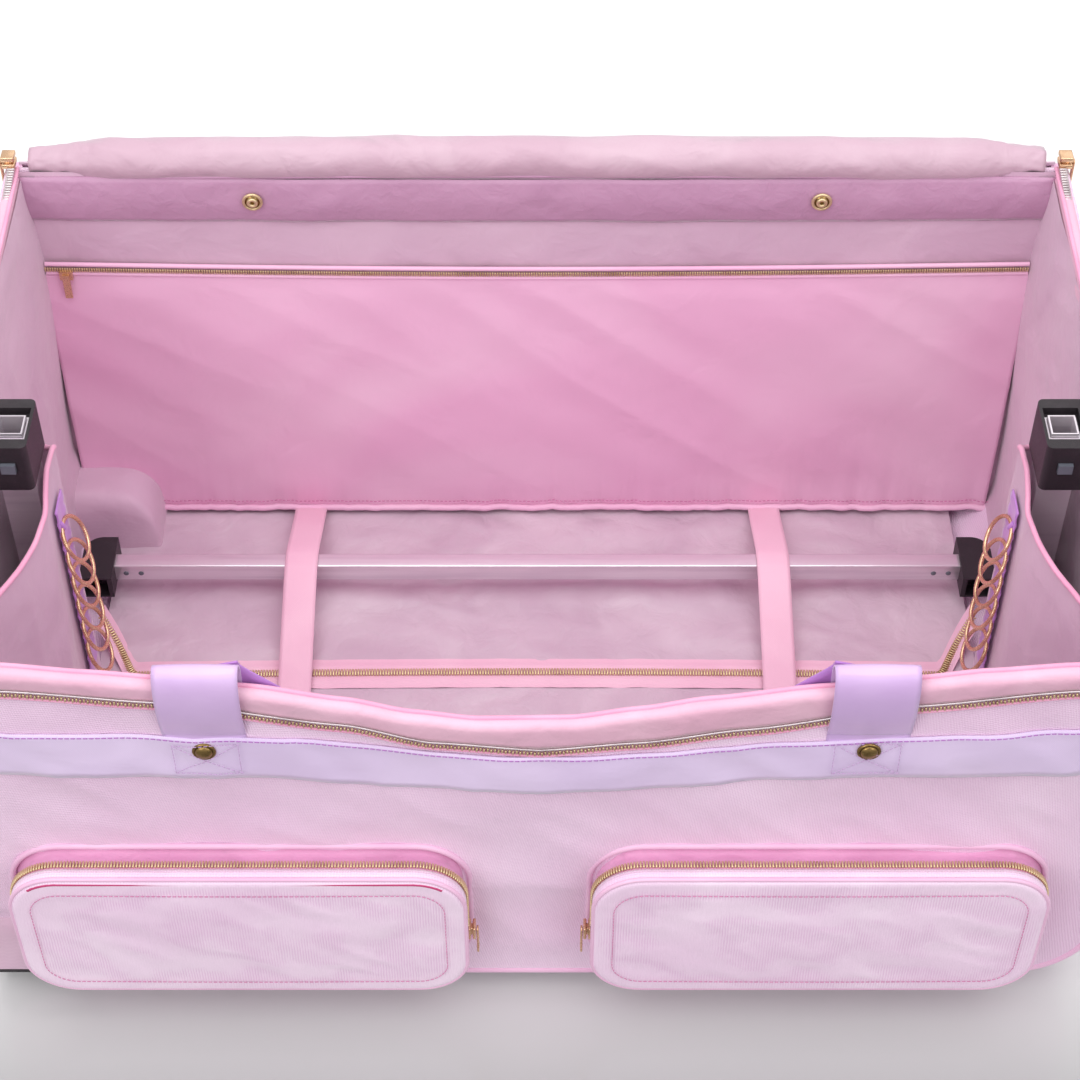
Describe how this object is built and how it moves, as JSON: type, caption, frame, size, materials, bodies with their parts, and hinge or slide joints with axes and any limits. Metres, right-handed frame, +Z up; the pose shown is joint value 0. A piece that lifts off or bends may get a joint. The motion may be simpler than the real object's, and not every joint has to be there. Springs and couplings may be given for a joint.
{
  "type": "wheeled garment rack duffel",
  "caption": "Soft-sided pink rolling duffel, lid folded back, with a stowed garment rail, telescoping uprights, lilac webbing handles and zipped front pockets.",
  "frame": {"origin": "underside of the middle skid rail, at the middle of the bag's footprint", "axes": "+Z up, +X along the bag away from the wheels, -Y out of the pocketed front"},
  "size_m": [0.747, 0.7122, 0.3685],
  "materials": {
    "outer_fabric": "satin",
    "roll_satin": "satin",
    "rose_lining": "satin",
    "mauve_lining": "satin",
    "pink_webbing": "satin",
    "lilac_webbing": "satin",
    "brass_teeth": "satin",
    "gold_metal": "polished",
    "black_plastic": "matte",
    "aluminium_tube": "brushed",
    "steel_pins": "satin",
    "wheel_rubber": "matte",
    "base_plastic": "matte"
  },
  "bodies": {
    "bag": {"front_panel": "outer_fabric", "back_panel": "outer_fabric", "left_end_panel": "outer_fabric", "right_end_panel": "outer_fabric", "bottom_panel": "outer_fabric", "base_board": "base_plastic", "floor_lining": "mauve_lining", "wall_lining": "mauve_lining", "skid_rails": "black_plastic", "wheel_housings": "black_plastic", "wheel_axles": "steel_pins", "webbing_bands": "lilac_webbing", "rim_tape": "pink_webbing", "rim_zip": "brass_teeth", "handle_legs": "lilac_webbing", "end_grab_handle": "lilac_webbing", "handle_rivets": "gold_metal", "front_pocket_left": "outer_fabric", "front_pocket_right": "outer_fabric", "front_pocket_zips": "brass_teeth", "back_pocket_panel": "rose_lining", "back_pocket_zip": "brass_teeth", "snap_sockets": "gold_metal", "floor_zip": "brass_teeth", "floor_straps": "pink_webbing", "strap_buckles": "black_plastic", "upright_outer_left": "aluminium_tube", "upright_outer_right": "aluminium_tube", "upright_head_left": "black_plastic", "upright_head_right": "black_plastic", "upright_brackets": "black_plastic", "end_pocket_left": "mauve_lining", "end_pocket_right": "mauve_lining", "ring_strips": "lilac_webbing", "rings_left": "gold_metal", "rings_right": "gold_metal", "zip_sliders": "gold_metal", "lid_roll": "roll_satin"},
    "lid": {"lid_panel": "outer_fabric", "lid_zip": "brass_teeth"},
    "crossbar": {"crossbar_tube": "aluminium_tube", "crossbar_elbow_left": "black_plastic", "crossbar_elbow_right": "black_plastic", "crossbar_rivets": "steel_pins"},
    "left_stage_one": {"upright_middle_left": "aluminium_tube"},
    "left_stage_two": {"upright_inner_left": "aluminium_tube"},
    "right_stage_one": {"upright_middle_right": "aluminium_tube"},
    "right_stage_two": {"upright_inner_right": "aluminium_tube"},
    "left_button": {"release_button_left": "black_plastic"},
    "right_button": {"release_button_right": "black_plastic"},
    "front_handle": {"front_handle_loop": "lilac_webbing"},
    "rear_handle": {"rear_handle_loop": "lilac_webbing"},
    "pocket_slider": {"back_pocket_slider": "gold_metal"},
    "left_pocket_pull": {"front_pocket_pull_left": "gold_metal"},
    "right_pocket_pull": {"front_pocket_pull_right": "gold_metal"},
    "left_main_pull": {"main_zip_pull_left": "gold_metal"},
    "right_main_pull": {"main_zip_pull_right": "gold_metal"},
    "front_wheel": {"wheel_front": "wheel_rubber"},
    "rear_wheel": {"wheel_rear": "wheel_rubber"}
  },
  "joints": [
    {"name": "lid_fold", "type": "hinge", "parent": "bag", "child": "lid", "pos_m": [0, 0.214, 0.354], "axis": [-1, 0, 0], "range_deg": [-234.5, 0]},
    {"name": "crossbar_lift", "type": "slide", "parent": "bag", "child": "crossbar", "axis": [0, 0, 1], "range_m": [0, 0.45], "deforming": ["floor_straps"]},
    {"name": "left_first_stage", "type": "slide", "parent": "bag", "child": "left_stage_one", "axis": [0, 0, 1], "range_m": [0, 0.22]},
    {"name": "left_second_stage", "type": "slide", "parent": "left_stage_one", "child": "left_stage_two", "axis": [0, 0, 1], "range_m": [0, 0.22]},
    {"name": "right_first_stage", "type": "slide", "parent": "bag", "child": "right_stage_one", "axis": [0, 0, 1], "range_m": [0, 0.22]},
    {"name": "right_second_stage", "type": "slide", "parent": "right_stage_one", "child": "right_stage_two", "axis": [0, 0, 1], "range_m": [0, 0.22]},
    {"name": "left_button_press", "type": "slide", "parent": "bag", "child": "left_button", "axis": [0, 1, 0], "range_m": [0, 0.003], "stiffness_N_per_m": 300},
    {"name": "right_button_press", "type": "slide", "parent": "bag", "child": "right_button", "axis": [0, 1, 0], "range_m": [0, 0.003], "stiffness_N_per_m": 300},
    {"name": "front_handle_swing", "type": "hinge", "parent": "bag", "child": "front_handle", "pos_m": [0, -0.208, 0.316], "axis": [1, 0, 0], "range_deg": [0, 180]},
    {"name": "rear_handle_swing", "type": "hinge", "parent": "bag", "child": "rear_handle", "pos_m": [0, 0.2137, 0.27], "axis": [1, 0, 0], "range_deg": [0, 50]},
    {"name": "back_pocket_slide", "type": "slide", "parent": "bag", "child": "pocket_slider", "axis": [1, 0, 0], "range_m": [0, 0.645]},
    {"name": "left_pocket_pull_swing", "type": "hinge", "parent": "bag", "child": "left_pocket_pull", "pos_m": [-0.03695, -0.225, 0.0905], "axis": [0, -1, 0], "range_deg": [0, 100]},
    {"name": "right_pocket_pull_swing", "type": "hinge", "parent": "bag", "child": "right_pocket_pull", "pos_m": [0.02795, -0.225, 0.0905], "axis": [0, 1, 0], "range_deg": [0, 100]},
    {"name": "left_main_pull_swing", "type": "hinge", "parent": "bag", "child": "left_main_pull", "pos_m": [-0.35955, 0.205, 0.3585], "axis": [0, 1, 0], "range_deg": [0, 100]},
    {"name": "right_main_pull_swing", "type": "hinge", "parent": "bag", "child": "right_main_pull", "pos_m": [0.35955, 0.205, 0.3585], "axis": [0, -1, 0], "range_deg": [0, 100]},
    {"name": "front_wheel_spin", "type": "hinge", "parent": "bag", "child": "front_wheel", "pos_m": [-0.326, -0.187, 0.025], "axis": [0, 1, 0], "continuous": true},
    {"name": "rear_wheel_spin", "type": "hinge", "parent": "bag", "child": "rear_wheel", "pos_m": [-0.326, 0.187, 0.025], "axis": [0, 1, 0], "continuous": true}
  ]
}
